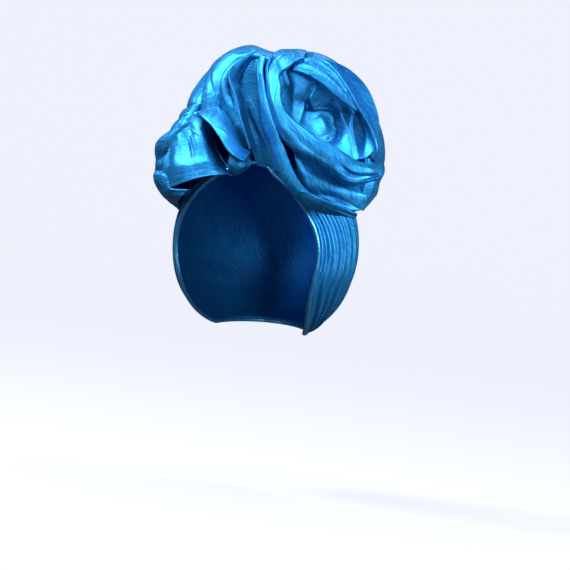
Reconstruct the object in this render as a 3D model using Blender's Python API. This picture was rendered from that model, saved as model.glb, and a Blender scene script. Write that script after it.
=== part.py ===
"""A pre-tied turban in blue taffeta: a fitted cap pleated from its back edge to its front edge, a
gathered puff over its crown, and at the front a wound rosette, a pouched petal and the folds that join
them.

Row frame: +Z up, the front opening looks to -Y, and the origin is the top of the room inside the cap.
The tables are in millimetres, the meshes in metres.
"""

import math

import bmesh
import bpy
import numpy as np

MM = 0.001

# The room inside the cap: an egg whose top is the origin.
EGG_HALF_WIDTH = 75.0
EGG_HALF_DEPTH = 95.0
EGG_HALF_HEIGHT = 85.0

# How thick the cloth is, and the room that is left between two pieces.
CLOTH = 1.6
PLEAT_RISE = 1.6
GAP = 0.35
PIPING_RADIUS = 2.2

# The front pieces lie in a display frame, turned from the front and leaning to one side.
DISPLAY_TURN = math.radians(18.0)
DISPLAY_LEAN = math.radians(7.5)
HEART_ACROSS = 22.0
HEART_HEIGHT = 37.6
HEART_OUT = 60.0
ROSETTE_SLOPE = 0.38

TAFFETA = (0.0, 0.16, 0.56, 1.0)
TAFFETA_SHADED = (0.0, 0.11, 0.42, 1.0)
PIPING_BLUE = (0.02, 0.33, 0.72, 1.0)

SIDEWAYS = np.array([math.cos(DISPLAY_TURN), math.sin(DISPLAY_TURN), 0.0])
UPRIGHT = np.array([0.0, 0.0, 1.0])
OUT = np.array([math.sin(DISPLAY_TURN), -math.cos(DISPLAY_TURN), 0.0])
ACROSS = math.cos(DISPLAY_LEAN) * SIDEWAYS + math.sin(DISPLAY_LEAN) * UPRIGHT
UP = -math.sin(DISPLAY_LEAN) * SIDEWAYS + math.cos(DISPLAY_LEAN) * UPRIGHT
HEART = HEART_ACROSS * SIDEWAYS + HEART_HEIGHT * UPRIGHT + HEART_OUT * OUT

for old in list(bpy.data.objects):
    bpy.data.objects.remove(old, do_unlink=True)


def displayed(points):
    """Display points (across, up, out from the rosette's sloping plane) in the row frame."""
    across, up, out = points[..., 0:1], points[..., 1:2], points[..., 2:3]
    return HEART + across * ACROSS + up * UP + (out - ROSETTE_SLOPE * up) * OUT


def unit(vectors):
    return vectors / np.maximum(np.linalg.norm(vectors, axis=-1, keepdims=True), 1e-9)


def through(rows, count, path=3, ring=False):
    """Reads a table at even steps of its path (the first columns): a smooth cubic in each column."""
    rows = np.array(rows, float)
    if ring:
        rows = np.concatenate([rows[-2:], rows, rows[:3]])
    strides = np.linalg.norm(np.diff(rows[:, :path], axis=0), axis=1)
    at = np.concatenate([[0.0], np.cumsum(strides)])
    slope = np.gradient(rows, at, axis=0)
    if ring:
        here = np.linspace(at[2], at[-3], count + 1)[:-1]
    else:
        here = np.linspace(0.0, at[-1], count)
    k = np.clip(np.searchsorted(at, here, side="right") - 1, 0, len(at) - 2)
    span = (at[k + 1] - at[k])[:, None]
    s = (here - at[k])[:, None] / span
    first = (1 + 2 * s) * (1 - s) ** 2 * rows[k] + s * (1 - s) ** 2 * span * slope[k]
    second = s**2 * (3 - 2 * s) * rows[k + 1] + s**2 * (s - 1) * span * slope[k + 1]
    return first + second


def facing(grid, ring=False):
    """The unit normals of a grid of points, from the runs of its rows and columns."""
    if ring:
        along = np.roll(grid, -1, axis=0) - np.roll(grid, 1, axis=0)
    else:
        along = np.gradient(grid, axis=0)
    return unit(np.cross(along, np.gradient(grid, axis=1)))


def shell_mesh(name, front, back, ring=False, pole=False):
    """A closed body between two grids of points, walled round its edges or fanned in to its pole."""
    rows, columns = front.shape[:2]
    points = [tuple(p) for p in np.concatenate([front.reshape(-1, 3), back.reshape(-1, 3)]) * MM]
    far = rows * columns
    faces = []
    for i in range(rows if ring else rows - 1):
        n = (i + 1) % rows
        for j in range(columns - 1):
            faces.append((i * columns + j, n * columns + j, n * columns + j + 1, i * columns + j + 1))
            faces.append(tuple(far + k for k in reversed(faces[-1])))
        here, after = i * columns + columns - 1, n * columns + columns - 1
        faces.append((here, after, far + after, far + here))
        if not pole:
            faces.append((n * columns, i * columns, far + i * columns, far + n * columns))
        else:
            faces.append((n * columns, i * columns, 2 * far))
            faces.append((far + i * columns, far + n * columns, 2 * far + 1))
    if pole:
        points.append(tuple(front[:, 0].mean(axis=0) * MM))
        points.append(tuple(back[:, 0].mean(axis=0) * MM))
    if not ring:
        for j in range(columns - 1):
            faces.append((j, j + 1, far + j + 1, far + j))
            end = (rows - 1) * columns
            faces.append((end + j + 1, end + j, far + end + j, far + end + j + 1))
    mesh = bpy.data.meshes.new(name)
    mesh.from_pydata(points, [], faces)
    body = bmesh.new()
    body.from_mesh(mesh)
    bmesh.ops.recalc_face_normals(body, faces=body.faces)
    bmesh.ops.triangulate(body, faces=body.faces)
    body.to_mesh(mesh)
    body.free()
    return mesh


def placed(name, mesh):
    piece = bpy.data.objects.new(name, mesh)
    bpy.context.scene.collection.objects.link(piece)
    return piece


def widened(grid, by, ring=False, pole=False):
    """The same grid with its free edges run on by a little, for the room it needs around it."""
    grid = grid.copy()
    grid[:, -1] += by * unit(grid[:, -1] - grid[:, -2])
    if not pole:
        grid[:, 0] += by * unit(grid[:, 0] - grid[:, 1])
    if not ring:
        grid[0] += by * unit(grid[0] - grid[1])
        grid[-1] += by * unit(grid[-1] - grid[-2])
    return grid


room = []


def cut_away(piece, cutters):
    """Takes the cutters out of a piece and keeps its largest part, as one clean body."""
    for cutter in cutters:
        less = piece.modifiers.new("clear_of_" + cutter.name, "BOOLEAN")
        less.operation = "DIFFERENCE"
        less.solver = "EXACT"
        less.object = cutter
    graph = bpy.context.evaluated_depsgraph_get()
    mesh = bpy.data.meshes.new_from_object(piece.evaluated_get(graph))
    piece.modifiers.clear()
    body = bmesh.new()
    body.from_mesh(mesh)
    bmesh.ops.remove_doubles(body, verts=body.verts, dist=0.000004)
    bmesh.ops.dissolve_degenerate(body, edges=body.edges, dist=0.000004)
    bmesh.ops.triangulate(body, faces=body.faces)
    left = set(body.verts)
    islands = []
    while left:
        island = {left.pop()}
        edge = list(island)
        while edge:
            for link in edge.pop().link_edges:
                for vert in link.verts:
                    if vert in left:
                        left.discard(vert)
                        island.add(vert)
                        edge.append(vert)
        islands.append(island)
    islands.sort(key=lambda island: (-len(island), min(vert.index for vert in island)))
    for island in islands[1:]:
        bmesh.ops.delete(body, geom=list(island), context="VERTS")
    body.to_mesh(mesh)
    body.free()
    mesh.name = piece.name
    piece.data = mesh


def near(one, other, margin=0.001):
    a = np.array([vert.co for vert in one.data.vertices])
    b = np.array([vert.co for vert in other.data.vertices])
    apart = np.maximum(a.min(axis=0) - b.max(axis=0), b.min(axis=0) - a.max(axis=0))
    return bool((apart < margin).all())


def cloth(name, grid, material, thick=CLOTH, ring=False, pole=False):
    """One piece of cloth: a grid of points given its thickness and cut clear of those before it."""
    normal = facing(grid, ring)
    mesh = shell_mesh(name, grid + normal * thick / 2, grid - normal * thick / 2, ring, pole)
    mesh.materials.append(material)
    piece = placed(name, mesh)
    cut_away(piece, [cutter for cutter in room if near(piece, cutter)])
    wide = widened(grid, GAP, ring, pole)
    half = thick / 2 + GAP
    around = facing(wide, ring)
    cutter = placed("room_" + name, shell_mesh(name, wide + around * half, wide - around * half, ring, pole))
    cutter.hide_render = True
    cutter.display_type = "WIRE"
    room.append(cutter)
    return piece


def fabric(name, colour):
    material = bpy.data.materials.new(name)
    material.use_nodes = True
    shader = next(node for node in material.node_tree.nodes if node.type == "BSDF_PRINCIPLED")
    shader.inputs["Base Color"].default_value = colour
    shader.inputs["Roughness"].default_value = 0.45
    return material


def on_egg(direction, stand):
    """Points over the egg, standing off its surface, for directions from its centre."""
    half = np.array([EGG_HALF_WIDTH, EGG_HALF_DEPTH, EGG_HALF_HEIGHT])
    return np.array([0.0, 0.0, -EGG_HALF_HEIGHT]) + direction * (half + np.asarray(stand)[..., None])


def to_egg(points):
    """Directions from the egg's centre, on the unit sphere, for points near its surface."""
    half = np.array([EGG_HALF_WIDTH, EGG_HALF_DEPTH, EGG_HALF_HEIGHT])
    return unit((points - np.array([0.0, 0.0, -EGG_HALF_HEIGHT])) / half)


# The fitted cap. Each row is one hoop over the egg, from the back edge forward to the front edge.
# side_x, side_y, side_z (at the opening's edge), middle_y, middle_z (over the crown)
CAP_HOOPS = (
    (42, 10, -158, 62, -150),
    (55, -26, -141, 88, -118),
    (61, -46, -116, 95, -78),
    (64, -48, -90, 80, -36),
    (60, -53, -68, 45, -9),
    (50, -60, -50, 5, 0),
    (34, -62, -33, -36, -7),
    (16, -62, -24, -60, -20),
)
CAP_PLEATS = 10
CAP_ALONG = 10
CAP_OVER = 41


def cap_grid():
    """Directions of the cap's hoops: each is the arc of the egg cut by the plane of its table row."""
    table = through(CAP_HOOPS, CAP_ALONG)
    side = to_egg(table[:, :3])
    middle = to_egg(np.stack([0 * table[:, 3], table[:, 3], table[:, 4]], axis=1))
    lean = unit(middle - side * np.array([0.0, 1.0, 1.0]))
    upright = unit(np.cross([[1.0, 0.0, 0.0]], lean))
    centre = upright * np.sum(upright * middle, axis=1, keepdims=True)
    radius = np.linalg.norm(middle - centre, axis=1)
    sense = np.sign(np.sum((middle - centre) * lean, axis=1))
    lean = lean * sense[:, None]
    reach = np.arctan2(side[:, 0], np.sum((side - centre) * lean, axis=1))
    over = np.linspace(-1.0, 1.0, CAP_OVER)
    angle = over[None, :] * reach[:, None]
    across = np.sin(angle)[..., None] * np.array([1.0, 0.0, 0.0])
    return centre[:, None, :] + radius[:, None, None] * (across + np.cos(angle)[..., None] * lean[:, None, :])


taffeta = fabric("azure_taffeta", TAFFETA)
shaded = fabric("azure_taffeta_shaded", TAFFETA_SHADED)
piping = fabric("azure_piping", PIPING_BLUE)

way = cap_grid()
over = np.linspace(-1.0, 1.0, CAP_OVER)
pleat = 0.5 - 0.5 * np.cos(2 * math.pi * CAP_PLEATS * (over + 1) / 2)
rise = CLOTH + PLEAT_RISE * pleat[None, :] * np.ones((CAP_ALONG, 1))
cap_mesh = shell_mesh("head_cap", on_egg(way, rise), on_egg(way, 0 * rise))
cap_mesh.materials.append(taffeta)
head_cap = placed("head_cap", cap_mesh)

# The room that the egg and the cap take up, kept whole, so that nothing reaches into the opening.
turn = np.linspace(0.0, 2 * math.pi, 49)[:-1]
fall = np.linspace(0.02, math.pi - 0.02, 25)
egg = np.stack(
    [
        np.sin(fall)[None, :] * np.cos(turn)[:, None],
        np.sin(fall)[None, :] * np.sin(turn)[:, None],
        np.cos(fall)[None, :] * np.ones((len(turn), 1)),
    ],
    axis=-1,
)
egg_points = on_egg(egg, np.full(egg.shape[:2], CLOTH + PLEAT_RISE + GAP))


def egg_mesh():
    body = bmesh.new()
    rows, columns = egg_points.shape[:2]
    verts = [[body.verts.new(tuple(p * MM)) for p in row] for row in egg_points]
    for i in range(rows):
        n = (i + 1) % rows
        for j in range(columns - 1):
            body.faces.new((verts[i][j], verts[n][j], verts[n][j + 1], verts[i][j + 1]))
    body.faces.new([row[0] for row in verts])
    body.faces.new([row[-1] for row in verts])
    bmesh.ops.recalc_face_normals(body, faces=body.faces)
    bmesh.ops.triangulate(body, faces=body.faces)
    mesh = bpy.data.meshes.new("egg_room")
    body.to_mesh(mesh)
    body.free()
    return mesh


egg_room = placed("room_egg", egg_mesh())
egg_room.hide_render = True
egg_room.display_type = "WIRE"

# The piping round the cap's edge: a thin roll that keeps its gap from the cut edge.
PIPING_AROUND = 6


def rim_loop(points):
    """The border of a grid, taken once round, with the direction in which the cloth ends there."""
    rows, columns = points.shape[:2]
    loop = [(points[0, j], points[0, j] - points[1, j]) for j in range(0, columns - 1, 2)]
    loop += [(points[i, -1], points[i, -1] - points[i, -2]) for i in range(rows - 1)]
    loop += [(points[-1, j], points[-1, j] - points[-2, j]) for j in range(columns - 1, 0, -4)]
    loop += [(points[i, 0], points[i, 0] - points[i, 1]) for i in range(rows - 1, 0, -1)]
    return np.array([p for p, d in loop]), unit(np.array([d for p, d in loop]))


middle_cloth = on_egg(way, np.full(way.shape[:2], CLOTH / 2 + 0.4))
edge, away = rim_loop(middle_cloth)
for _ in range(2):
    away = unit(np.roll(away, 1, axis=0) + 2 * away + np.roll(away, -1, axis=0))
core = edge + away * (PIPING_RADIUS + GAP + 0.2)
core = (np.roll(core, 1, axis=0) + 4 * core + np.roll(core, -1, axis=0)) / 6
core = core + away * 0.2
heading = unit(np.roll(core, -1, axis=0) - np.roll(core, 1, axis=0))
outward = unit(away - heading * np.sum(away * heading, axis=1, keepdims=True))
beside = np.cross(heading, outward)
spin = np.linspace(0, 2 * math.pi, PIPING_AROUND + 1)[:-1]
tube = core[:, None, :] + PIPING_RADIUS * (
    np.cos(spin)[None, :, None] * outward[:, None, :] + np.sin(spin)[None, :, None] * beside[:, None, :]
)


def loop_mesh(name, rings):
    body = bmesh.new()
    verts = [[body.verts.new(tuple(p * MM)) for p in ring] for ring in rings]
    for i, ring in enumerate(verts):
        after = verts[(i + 1) % len(verts)]
        for j in range(len(ring)):
            k = (j + 1) % len(ring)
            body.faces.new((ring[j], after[j], after[k], ring[k]))
    bmesh.ops.recalc_face_normals(body, faces=body.faces)
    bmesh.ops.triangulate(body, faces=body.faces)
    mesh = bpy.data.meshes.new(name)
    body.to_mesh(mesh)
    body.free()
    return mesh


piping_mesh = loop_mesh("face_piping", tube)
piping_mesh.materials.append(piping)
face_piping = placed("face_piping", piping_mesh)
wide_way = to_egg(widened(on_egg(way, 0 * rise), GAP))
cap_walls = shell_mesh("cap_room", on_egg(wide_way, rise + GAP), on_egg(wide_way, 0 * rise - GAP))
cap_room = placed("room_cap", cap_walls)
cap_room.hide_render = True
cap_room.display_type = "WIRE"
cut_away(face_piping, [cap_room])
wide_tube = core[:, None, :] + (tube - core[:, None, :]) * 1.2
piping_room = placed("room_piping", loop_mesh("piping_room", wide_tube))
piping_room.hide_render = True
piping_room.display_type = "WIRE"
room.append(egg_room)
room.append(piping_room)


def band(rows, along, wide, roundness=1.0):
    """Cloth between two edges, standing out between them by its belly; rows run along the piece."""
    table = through(rows, along)
    inner, outer, belly = table[:, None, 0:3], table[:, None, 3:6], table[:, None, 6:7]
    over = np.linspace(0.0, 1.0, wide)[None, :, None]
    grid = inner + (outer - inner) * over
    chord = unit(outer - inner)
    heading = unit(np.gradient(table[:, 0:3] + table[:, 3:6], axis=0))[:, None, :]
    stand = unit(np.cross(heading, chord))
    stand = stand * np.sign(np.mean(stand[..., 2]))
    lifted = grid + belly * np.sin(math.pi * over) ** roundness * stand
    return displayed(lifted)


# The front wrap: its raised edge is the rim of the heart, left round to the lower right.
# inner_across, inner_up, inner_out, outer_across, outer_up, outer_out, belly
FRONT_WRAP = (
    (-25, 35.5, 20, -35, 42, 8, 2),
    (-26.5, 26, 25, -38, 30, 14, 3),
    (-25.5, 15.5, 29, -37, 15.5, 17, 3.5),
    (-25, 4, 32, -35, 1.5, 19, 4),
    (-21, -7, 34, -31.5, -13, 20, 4),
    (-13, -15.5, 36, -26, -26, 22, 5),
    (-3.5, -22.5, 37, -18, -36, 23, 6),
    (6, -29, 37, -7, -46, 25, 7),
    (16, -34, 36, 7, -54, 26, 7),
    (26.5, -40.5, 35, 19, -62.5, 25, 7),
    (36, -46.5, 32, 33, -69.5, 23, 6),
    (45.5, -50, 28, 48.5, -66, 16, 5),
    (53.5, -52.5, 20, 58.5, -63, 5, 3),
)
cloth("front_wrap", band(FRONT_WRAP, 24, 6, 0.75), taffeta)

# The outer wrap: a ribbon whose bright rim stands off the front wrap with a deep gap behind it.
OUTER_WRAP = (
    (-38.5, 42, 14, -43, 44, 6, 1),
    (-41, 31, 18, -45, 30, 11, 1),
    (-39.5, 17, 21, -44.5, 15, 13, 1),
    (-37, 4, 23, -43.5, 2, 14, 1.5),
    (-33.5, -9, 25, -41.5, -12, 14, 1.5),
    (-30, -19, 26, -39, -22, 14, 1.5),
    (-26, -29.5, 26, -35, -32, 13, 2),
    (-21, -40.5, 26, -31, -44, 12, 2),
    (-17.5, -50, 26, -27, -54, 12, 2),
    (-13.5, -59, 26, -23, -64, 11, 2),
    (-7, -69, 25, -15, -76, 10, 2),
    (2, -77, 24, -5, -85, 9, 2),
    (13, -82, 23, 7, -91, 8, 2),
    (24, -86, 20, 19, -93.5, 6, 2),
    (33, -90, 14, 30, -94.5, 3, 1.5),
    (39, -92.5, 7, 38, -94.5, -2, 1),
)
cloth("outer_wrap", band(OUTER_WRAP, 26, 5, 0.8), taffeta)

# The lower wrap, tucked under the front wrap.
LOWER_WRAP = (
    (-14, -40, 18, -5.5, -70, 10, 2),
    (-6, -45, 19, 0, -76, 11, 4),
    (4, -50.5, 19, 10, -80.5, 10, 5),
    (17, -57.5, 18, 22.5, -85, 9, 5),
    (31, -62, 15, 34.5, -89, 6, 4),
    (45, -61, 9, 46, -86.5, 1, 3),
    (58, -57, -2, 56, -76, -7, 2),
)
cloth("lower_wrap", band(LOWER_WRAP, 14, 5), shaded)

# The folded-over facet at the top, and the bright band that starts behind its point.
TOP_FLAP = (
    (-26.5, 26.5, 24, -31, 45, 8, 2),
    (-22.5, 30, 29, -26, 48, 10, 2),
    (-17, 34.5, 31, -16.5, 48.5, 11, 2),
    (-11, 39, 31, -8.5, 48.5, 11, 1.5),
    (-5, 41, 28, -3, 47, 10, 1),
)
cloth("top_flap", band(TOP_FLAP, 8, 5), taffeta)

UPPER_WRAP = (
    (-14.5, 30, 27, -12, 36, 26, 0.5),
    (-6, 27.5, 28, -1, 40, 24, 1.5),
    (2, 24, 28, 9, 39, 22, 2.5),
    (10, 18.5, 28, 18, 33.5, 22, 3),
    (18.5, 11, 28, 26.5, 24.5, 23, 3),
    (28, 2.5, 27, 33, 11, 25, 2),
    (38.5, -5.5, 24, 40, -3, 24, 0.5),
)
cloth("upper_wrap", band(UPPER_WRAP, 14, 5), taffeta)

# The outer roll makes the rosette's right outline and turns round to its back.
OUTER_ROLL = (
    (-8, 40.5, 13, -6.5, 47.5, 4, 1),
    (4, 40.5, 19, 5, 45, 0, 2),
    (15, 36.5, 23, 18, 37.5, -5, 3),
    (24, 27.5, 25, 29.5, 27, -9, 4),
    (34, 12, 26, 41, 15.5, -12, 4),
    (43, -4, 26, 49.5, 2, -14, 4),
    (50, -15.5, 25, 57, -15, -16, 4),
    (54.5, -27, 23, 61.5, -32, -18, 4),
    (56, -37, 19, 63, -46, -18, 3),
    (53, -46.5, 13, 61, -58, -16, 2),
)
cloth("outer_roll", band(OUTER_ROLL, 18, 6), taffeta)

# The right ends of the wraps are tucked together in one small lobe.
END_LOBE = (
    (45, -44, 12, 60, -44, -4, 2),
    (46.5, -51, 16, 63, -51, -6, 3),
    (48.5, -58, 17, 62.5, -58, -8, 4),
    (46.5, -64.5, 16, 58.5, -65.5, -8, 4),
    (43.5, -74, 12, 54.5, -76, -8, 3),
    (37, -86, 6, 45, -89.5, -7, 2),
)
cloth("end_lobe", band(END_LOBE, 10, 5), shaded)

# The rosette's heart: a swirled bowl whose skirt runs on under the wraps that are sewn to it.
# angle_deg, reach, rim_out (where the bowl's side meets the wraps), skirt_reach, skirt_out
HEART_TURNS = (
    (0, 44, 20, 55, -2),
    (30, 40, 22, 54, -2),
    (60, 36, 22, 46, -2),
    (90, 34, 22, 42, 0),
    (120, 32, 22, 40, 0),
    (150, 28, 22, 38, 0),
    (180, 24, 24, 33, 2),
    (210, 23, 26, 36, 0),
    (240, 26, 26, 54, -6),
    (270, 30, 26, 80, -6),
    (300, 46, 26, 84, -6),
    (330, 56, 20, 66, -6),
)
HEART_EYE = (-1.0, 1.0, 6.0)
SWIRL_RISE = 2.2


def heart_grid(around, wide):
    rows = np.array(HEART_TURNS, float)
    turns = np.linspace(0.0, 360.0, around + 1)[:-1]
    cyclic = np.concatenate([rows, rows[:1] + np.array([360.0, 0, 0, 0, 0])])
    reach, rim, skirt, low = (np.interp(turns, cyclic[:, 0], cyclic[:, k]) for k in (1, 2, 3, 4))
    for _ in range(2):
        reach, rim, skirt, low = (
            (np.roll(v, 1) + 2 * v + np.roll(v, -1)) / 4 for v in (reach, rim, skirt, low)
        )
    over = np.linspace(0.0, 1.0, wide)
    inside = np.clip(over / 0.62, 0.04, 1.0)[None, :]
    beyond = np.clip((over - 0.62) / 0.38, 0.0, 1.0)[None, :]
    radius = reach[:, None] * inside * 0.86 + (skirt - reach * 0.86)[:, None] * beyond
    turned = np.radians(turns)[:, None]
    bowl = HEART_EYE[2] + (rim[:, None] - HEART_EYE[2]) * inside**1.6
    out = bowl * (1 - beyond) + low[:, None] * beyond
    swirl = SWIRL_RISE * np.cos(turned * 2 - inside * 5.0) * np.sin(math.pi * inside) * (1 - beyond)
    eye = np.array(HEART_EYE[:2])
    return displayed(
        np.stack([eye[0] + radius * np.cos(turned), eye[1] + radius * np.sin(turned), out + swirl], axis=-1)
    )


cloth("rosette_heart", heart_grid(26, 10)[::-1], taffeta, ring=True, pole=True)

# The drape from the knot down to the opening, and the thin folded ridge that overlaps its left edge.
CENTRE_DRAPE = (
    (-38, 44, 4, -45, 45, 1, 1),
    (-41.5, 31, 1, -57, 30, -2, 1.5),
    (-39.5, 16.5, -3, -62, 16.5, -6, 2),
    (-36, 1, -6, -60, 1, -8, 2),
    (-33, -14.5, -8, -56, -13, -10, 2),
    (-30, -28.5, -11, -53, -26.5, -12, 2),
    (-27.5, -41.5, -14, -49, -39, -15, 2),
    (-25, -56, -17, -45, -51, -18, 1),
)
cloth("centre_drape", band(CENTRE_DRAPE, 14, 6), shaded)

CROWN_RIDGE = (
    (-46.5, 48.5, 4, -44, 44, -2, 0.5),
    (-57.5, 40, 7, -52.5, 37, 0, 1),
    (-67.5, 31, 8, -58.5, 26.5, -1, 2),
    (-68, 22.5, 8, -60.5, 20, -1, 2),
    (-64.5, 13, 8, -58, 13, -2, 1.5),
    (-61, 2.5, 8, -55.5, 4.5, -3, 1),
    (-58, -11, 8, -53, -9.5, -4, 1),
    (-53.5, -25, 7, -49, -23.5, -6, 1),
    (-50, -37, 4, -45, -36, -9, 1),
)
cloth("crown_ridge", band(CROWN_RIDGE, 14, 4), taffeta)

# The fold that falls from the ridge to the left and runs in under the petal and the puff.
CROWN_FOLD = (
    (-52, 43, 2, -62, 44, -8, 1),
    (-62, 32, 2, -76, 27, -11, 2),
    (-66, 22, 1, -81, 15, -13, 3),
    (-63, 10, 1, -82, 2, -14, 3),
    (-59, -3, 1, -77, -9, -13, 3),
    (-55, -18, 0, -69, -22, -12, 2),
    (-50, -34, -4, -60, -36, -13, 1),
)
cloth("crown_fold", band(CROWN_FOLD, 11, 4), shaded)

# The petal at the left, its edge folded over to the satin side, and the lobe tucked under the tip.
PETAL_FLAP = (
    (-80, 0, -8, -96, -5, -12, 0.5),
    (-77, -2, 2, -92, -8, 4, 1),
    (-72, -7, 5, -84, -15, 13, 1.5),
    (-66, -16, 7, -75.5, -26.5, 19, 2),
    (-60.5, -27, 8, -68, -38, 22, 2),
    (-56, -36, 7, -61.5, -43.5, 23, 2),
    (-50, -40, 4, -55, -47, 20, 2),
)
cloth("petal_flap", band(PETAL_FLAP, 12, 5), taffeta)

PETAL_TUCK = (
    (-51, -38, 8, -66, -37, 19, 1),
    (-51, -44, 6, -68, -44, 14, 3),
    (-50, -50, 5, -69, -50, 12, 4),
    (-55, -56, 2, -68, -56, 6, 3),
    (-60, -58, -9, -69, -58, -9, 1),
)
cloth("petal_tuck", band(PETAL_TUCK, 8, 6), shaded)

FRONT_PETAL = (
    (-88, -5, -10, -106, -6, -20, 1),
    (-81, -14.5, -15, -113.5, -16.5, -26, 6),
    (-74.5, -26.5, -18, -118, -28.5, -31, 11),
    (-68.5, -38, -19, -122.5, -40.5, -35, 14),
    (-64, -47.5, -17, -126, -53.5, -38, 16),
    (-64, -58, -10, -127, -70, -39, 12),
    (-67, -61, -24, -124, -71, -52, 4),
)
cloth("front_petal", band(FRONT_PETAL, 13, 8), taffeta)


def pouch(rows, along, deep, full, gathers, rise):
    """A bag between three edges: its gathered front, its outline, and where it is sewn to the cap."""
    table = through([tuple(row[3:6]) + tuple(row[0:3]) + tuple(row[6:9]) for row in rows], along)
    crest = displayed(table[:, None, 0:3])
    front = displayed(table[:, None, 3:6])
    hem = on_egg(to_egg(table[:, 6:9]), np.full(along, CLOTH + PLEAT_RISE - 1.0))[:, None, :]
    turned = np.linspace(0.0, math.pi, deep)[None, :, None]
    before = turned <= math.pi / 2 + 1e-6
    start = np.where(before, front, hem)
    quarter = np.where(before, turned, math.pi - turned)
    spread = full * np.sin(quarter) + (1 - full) * quarter / (math.pi / 2)
    depth = full * (1 - np.cos(quarter)) + (1 - full) * quarter / (math.pi / 2)
    way = crest - start
    deepward = np.sum(way * OUT, axis=2, keepdims=True) * OUT
    bag = start + (way - deepward) * spread + deepward * depth
    wave = np.cos(2 * math.pi * gathers * np.linspace(0.0, 1.0, along))[:, None, None]
    return bag + facing(bag) * rise * wave * np.sin(turned)


# The puff over the crown, gathered at the knot and sewn down round the back of the cap.
# front_across, front_up, front_out, crest_across, crest_up, crest_out, hem_x, hem_y, hem_z
CROWN_PUFF = (
    (-80, -10, -6, -103, -14, -44, -60, -22, -42),
    (-79, 6, -4, -106, 6, -56, -66, 6, -46),
    (-76, 22, -3, -96, 27, -62, -60, 42, -48),
    (-67, 35, -3, -84, 41, -62, -44, 66, -50),
    (-58, 43, 0, -66, 52, -58, -22, 80, -50),
    (-47, 44, 3, -51, 56, -56, 0, 84, -50),
    (-30, 40, 4, -32, 50, -58, 22, 80, -50),
    (0, 36, 4, 0, 44, -60, 44, 66, -50),
    (27, 24, 2, 32, 30, -58, 58, 44, -50),
    (42, 4, -2, 50, 6, -50, 66, 16, -50),
    (50, -24, -6, 57, -28, -38, 66, -10, -52),
    (46, -52, -14, 50, -56, -30, 60, -34, -54),
)
cloth("crown_puff", pouch(CROWN_PUFF, 28, 9, 0.95, 6, 1.8)[::-1], taffeta)

# The pouch that hangs at the left, behind the petal.
SIDE_PUFF = (
    (-96, 2, -14, -109.5, -2, -46, -62, 0, -44),
    (-104, -14, -20, -122, -20, -54, -65, 12, -50),
    (-108, -30, -26, -135, -33, -60, -68, 14, -55),
    (-112, -46, -28, -136, -46, -62, -70, 12, -60),
    (-118, -60, -32, -136, -62, -62, -71, 4, -65),
    (-120, -70, -34, -127, -74, -60, -71, -10, -68),
    (-104, -72, -24, -114, -82, -50, -70, -26, -66),
)
cloth("side_puff", pouch(SIDE_PUFF, 16, 8, 0.8, 2, 1.5)[::-1], shaded)
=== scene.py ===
"""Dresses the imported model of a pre-tied turban: every fold of azure dupioni taffeta, sewn over a cap."""

import math

import bpy
import mathutils
import numpy as np
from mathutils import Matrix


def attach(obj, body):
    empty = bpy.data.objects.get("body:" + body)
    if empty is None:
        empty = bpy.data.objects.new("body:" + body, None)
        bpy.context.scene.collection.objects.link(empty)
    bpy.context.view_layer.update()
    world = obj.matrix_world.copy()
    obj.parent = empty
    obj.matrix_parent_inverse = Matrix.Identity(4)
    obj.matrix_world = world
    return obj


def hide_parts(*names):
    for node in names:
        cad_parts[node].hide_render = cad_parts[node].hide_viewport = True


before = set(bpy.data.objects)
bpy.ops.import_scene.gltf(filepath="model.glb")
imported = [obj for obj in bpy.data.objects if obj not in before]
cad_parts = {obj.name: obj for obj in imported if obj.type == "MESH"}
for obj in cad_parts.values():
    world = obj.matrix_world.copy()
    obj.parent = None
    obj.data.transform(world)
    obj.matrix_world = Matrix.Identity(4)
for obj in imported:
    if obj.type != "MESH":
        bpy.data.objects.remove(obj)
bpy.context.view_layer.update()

# The fitted cap
# A close cap of dupioni taffeta that the rest is sewn to, open below and at the front.
# Knife pleats run from low at the back up over each side, stitched down along the front edge.
EGG_HALF_MM = np.array([75.0, 95.0, 85.0])
EGG_CENTRE_MM = np.array([0.0, 0.0, -85.0])
TAFFETA_DEEP = "#0069B6"
TAFFETA_LIT = "#0088D0"
TAFFETA_SLUB = "#6CCCF2"
SLUB_LONG_MM = 12.0
SLUB_THICK_MM = 1.0
WARP_LONG_MM = 6.0
# Real yarns lie 0.2 mm apart; they are drawn 0.8 mm apart, the finest that the picture can show.
YARN_MM = 0.8
CLOUD_MM = 20.0
RELIEF_M = 0.0002
TAFFETA_ROUGH = 0.42
CLOTH_MM = 0.7
HOOP_COUNT = 108
HOOP_POINTS = 421
PLEAT_LIP_SHARE = 0.09
PLEAT_GROWTH = 1.25
FLOW_MM = 0.6

# side_x, side_y, side_z (the cap's front edge), middle_y, middle_z (over the crown)
CAP_HOOPS = (
    (42, 10, -158, 62, -150),
    (55, -26, -141, 88, -118),
    (61, -46, -116, 95, -78),
    (64, -48, -90, 80, -36),
    (60, -53, -68, 45, -9),
    (50, -60, -50, 5, 0),
    (34, -62, -33, -36, -7),
    (16, -62, -24, -60, -20),
)
# from_edge (share of the way from the front edge to the crown), rise_mm of the pleat that starts there
CAP_PLEATS = (
    (0.000, 2.6),
    (0.050, 3.6),
    (0.110, 3.0),
    (0.170, 4.0),
    (0.240, 3.2),
    (0.320, 3.8),
    (0.420, 3.2),
    (0.540, 3.0),
    (0.660, 2.8),
    (0.780, 2.6),
    (0.890, 2.4),
    (1.000, 0.0),
)


def unit(vectors):
    """Each vector divided by its length."""
    return vectors / np.maximum(np.linalg.norm(vectors, axis=-1, keepdims=True), 1e-9)


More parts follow.
